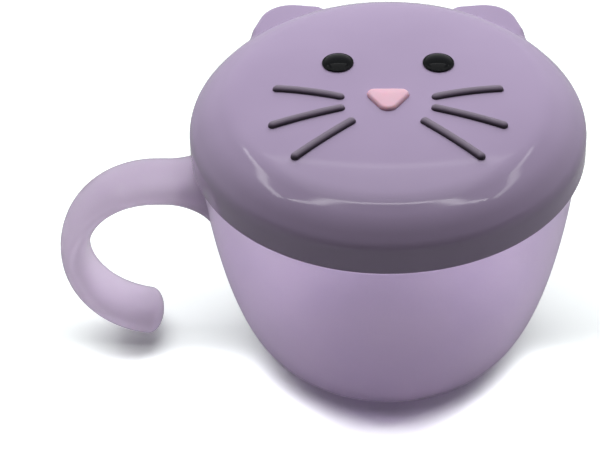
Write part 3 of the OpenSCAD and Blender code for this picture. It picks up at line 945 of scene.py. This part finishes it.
# %% Six whiskers
# Each row is a level, its bar's middle, direction in degrees, length and bow.
whiskers = [
    ("upper", 20.8, -2.2, 15.0, 19.6, 0.3),
    ("middle", 21.1, -12.0, -18.0, 20.8, 0.0),
    ("lower", 16.6, -21.0, -41.5, 21.4, 0.0)]
for side, hand in ((-1, "left"), (1, "right")):
    for level, x, y, degrees, length, bow in whiskers:
        mesh = grown(bar_tree, f"whisker_{level}_{hand}_bar",
                     Length=length * mm, Bow=side * bow * mm)
        direction = math.radians(degrees if side > 0 else 180 - degrees)
        place = on_face(side * x, y) @ Matrix.Rotation(direction, 4, "Z")
        place.translation *= mm
        mesh.transform(place)
        show(mesh, whisker_plastic, "lid_body", "whisker_plastic", f"whisker_{level}_{hand}")

# %% [markdown]
# ## The camera
# The photograph looks down at the face from the front at about 40 degrees, from some 0.8 m. The
# cup stands right of the picture's middle but isn't seen from the side, so the camera stays in
# front of it and the lens is shifted.

# %% The camera
image_w = 600
cup_column = 388.1
field_px = 2942
elevation = math.radians(39.65)
distance = 0.8
aim = Vector((0, 0, 0.0367))
sensor_w = 36
camera_data = bpy.data.cameras.new("camera")
camera_data.sensor_width = sensor_w
camera_data.lens = field_px / image_w * sensor_w
camera_data.shift_x = (image_w / 2 - cup_column) / image_w
camera = placed("camera", camera_data)
back = Vector((0, -math.cos(elevation), math.sin(elevation)))
camera.location = aim + distance * back
camera.rotation_mode = "QUATERNION"
camera.rotation_quaternion = (-back).to_track_quat("-Z", "Y")
bpy.context.scene.camera = camera
print(f"lens {camera_data.lens:.0f} mm, shift {camera_data.shift_x:.3f}")

# %% [markdown]
# ## The floor
# The object stands on white paper that fills the picture and still takes the object's shadow.
# The paper gives less light back to the object than it shows to the camera, because the
# photograph's front and underside are dark. It shows painted light toward the front of the foot,
# drawn brighter by its place, where the photograph's shadow ends early. What shines up through
# the cup's walls counts more with each wall that it passes, because each wall keeps a share of it.

# %% What the paper shows to the camera
paper_material, paper_tree = new_material("white_paper")
place = node(paper_tree, "ShaderNodeTexCoord").outputs["Object"]
forward = node(paper_tree, "ShaderNodeSeparateXYZ", {0: place}).outputs["Y"]
outward = node(paper_tree, "ShaderNodeVectorMath", {0: place}, operation="LENGTH").outputs["Value"]

# Painted light: the paper shown to the camera is drawn brighter by its place, more toward the front and
# most just in front of the foot.
# Each row is a measure, where its ramp starts and ends in millimetres, and its two levels.
ramps = [
    (forward, 0, -25, 1.25, 2.6),
    (outward, 33, 43, 0.0, 7.0),
    (forward, -6, -38, 0.0, 1.0)]
painted_light_beside, painted_light_around, ahead = [
    node(paper_tree, "ShaderNodeMapRange",
         {"Value": measure, "From Min": start * mm, "From Max": end * mm, "To Min": low, "To Max": high},
         interpolation_type="SMOOTHSTEP")
    for measure, start, end, low, high in ramps]
# Painted light: how many times brighter the paper shows at each place.
painted_light_gain = node(paper_tree, "ShaderNodeMath", {0: painted_light_around, 1: ahead, 2: painted_light_beside}, operation="MULTIPLY_ADD")
paper_tint = (0.98, 1.02, 0.98)

# %% What the paper gives to everything else
given, mirrored = 0.36, 0.45
few_walls, many_walls = 2.0, 4.0
gain_few, gain_many = 1.6, 2.5
rays = node(paper_tree, "ShaderNodeLightPath").outputs
direct = node(paper_tree, "ShaderNodeMath", {0: rays["Diffuse Depth"], 1: 0.5}, operation="LESS_THAN")
through = node(paper_tree, "ShaderNodeMath", {0: rays["Is Transmission Ray"], 1: direct},
               operation="MULTIPLY")
deep = node(paper_tree, "ShaderNodeMapRange",
            {"Value": rays["Transmission Depth"], "From Min": few_walls, "From Max": many_walls,
             "To Min": gain_few, "To Max": gain_many})


def paper_layer(strength, tint=(1.0, 1.0, 1.0)):
    """A layer of the colour tint, strength times as bright."""
    tinted = node(paper_tree, "ShaderNodeVectorMath", {0: tint, "Scale": strength}, operation="SCALE")
    return node(paper_tree, "ShaderNodeBsdfDiffuse", {"Color": tinted})


# Each row is a kind of ray and the layer that it meets, and a later row wins.
paper = paper_layer(given)
kinds = [
    (rays["Is Glossy Ray"], paper_layer(mirrored)),
    (through, paper_layer(deep)),
    (rays["Is Camera Ray"], paper_layer(painted_light_gain, paper_tint))]
for kind, layer in kinds:
    paper = node(paper_tree, "ShaderNodeMixShader", {0: kind, 1: paper, 2: layer})
node(paper_tree, "ShaderNodeOutputMaterial", {"Surface": paper})
print(f"the paper gives back {given:.0%} of its light, and {mirrored:.0%} in reflections")

# %% The floor
floor_half = 3.0
corners = [(x * floor_half, y * floor_half, 0) for x, y in ((-1, -1), (1, -1), (1, 1), (-1, 1))]
floor_mesh = bpy.data.meshes.new("floor")
floor_mesh.from_pydata(corners, [], [(0, 1, 2, 3)])
floor_mesh.materials.append(paper_material)
floor = placed("floor", floor_mesh)
print(f"the floor is {2 * floor_half:.0f} m wide")

# %% [markdown]
# ## The world
# The photograph's light comes from behind the object, and its front stays dark. So the world
# lights the object only from behind, and less from the sides. Glossy surfaces mirror a dimmer
# room that is darkest in front, and what shows through the cup's walls is white.

# %% Levels of the world
world = bpy.data.worlds.new("tent")
bpy.context.scene.world = world
world.use_nodes = True
sky = world.node_tree
sky.nodes.clear()
direction = node(sky, "ShaderNodeTexCoord").outputs["Generated"]
toward = node(sky, "ShaderNodeSeparateXYZ", {0: direction}).outputs
sideways = node(sky, "ShaderNodeMath", {0: toward["X"]}, operation="ABSOLUTE")
rays = node(sky, "ShaderNodeLightPath").outputs

# Each row is a measure, where its ramp starts and ends, and its two levels. They are the light
# from behind, its share at the sides, the mirrored room by height, that room's dark front, and
# the share of the light from behind that goes on through a wall.
through_share = 0.06
ramps = [
    (toward["Y"], 0.0, 0.4, 0.02, 2.8),
    (sideways, 0.4, 0.75, 1.0, 0.2),
    (toward["Z"], 0.2, 0.55, 0.4, 0.2),
    (toward["Y"], -0.3, 0.1, 0.07, 1.0),
    (rays["Is Transmission Ray"], 0.0, 1.0, 1.0, through_share)]
back_light, side_light, room, dark_front, shaded = [
    node(sky, "ShaderNodeMapRange",
         {"Value": value, "From Min": start, "From Max": end, "To Min": low, "To Max": high})
    for value, start, end, low, high in ramps]
print(f"{through_share:.0%} of the light from behind goes on through a wall")

# %% The world
seen = node(sky, "ShaderNodeMath", {0: rays["Is Glossy Ray"], 1: rays["Is Transmission Ray"]},
            operation="MAXIMUM")
direct = node(sky, "ShaderNodeMath", {0: rays["Diffuse Depth"], 1: 0.5}, operation="LESS_THAN")
seen = node(sky, "ShaderNodeMath", {0: seen, 1: direct}, operation="MULTIPLY")
back_light = node(sky, "ShaderNodeMath", {0: back_light, 1: side_light}, operation="MULTIPLY")
back_light = node(sky, "ShaderNodeMath", {0: back_light, 1: shaded}, operation="MULTIPLY")
mirror_light = node(sky, "ShaderNodeMath", {0: room, 1: dark_front}, operation="MULTIPLY")
mirror_light = node(sky, "ShaderNodeMath", {0: mirror_light, 1: rays["Is Transmission Ray"]},
                    operation="MAXIMUM")
fill = node(sky, "ShaderNodeBackground", {"Color": linear("FAFAFF"), "Strength": back_light})
walls = node(sky, "ShaderNodeBackground", {"Color": linear("FFFFFF"), "Strength": mirror_light})
white = node(sky, "ShaderNodeBackground", {"Color": linear("FFFFFF"), "Strength": 1.0})
tent = node(sky, "ShaderNodeMixShader", {0: seen, 1: fill, 2: walls})
tent = node(sky, "ShaderNodeMixShader", {0: rays["Is Camera Ray"], 1: tent, 2: white})
node(sky, "ShaderNodeOutputWorld", {"Surface": tent})
print(f"world: {len(sky.nodes)} nodes")

# %% [markdown]
# ## The lamps
# In the photograph thin lines of light run along the lid's shoulder and the handle. A bright
# world can't draw them, but area lamps can, because polished plastic mirrors their shape. A wide
# panel overhead and four tubes round it face straight down.

# %% The lamps
# Each row is a lamp's name, its place, width and depth in metres, and its power in watts.
lamps = [
    ("panel", (0, 0.28, 1.12), 0.92, 0.84, 0.8),
    ("back_tube", (0, 0.72, 1.1), 0.95, 0.05, 0.2),
    ("front_tube", (0, -0.14, 1.1), 1.5, 0.05, 1.0),
    ("left_tube", (-0.8, 0.26, 1.0), 0.1, 0.8, 0.8),
    ("right_tube", (0.8, 0.26, 1.0), 0.1, 0.8, 0.6)]
for name, place, width, depth, watts in lamps:
    data = bpy.data.lights.new(name, "AREA")
    data.shape = "RECTANGLE"
    data.size = width
    data.size_y = depth
    data.energy = watts
    placed(name, data).location = place
    print(f"{name}: {watts} W")

bpy.context.scene.view_settings.view_transform = "Standard"
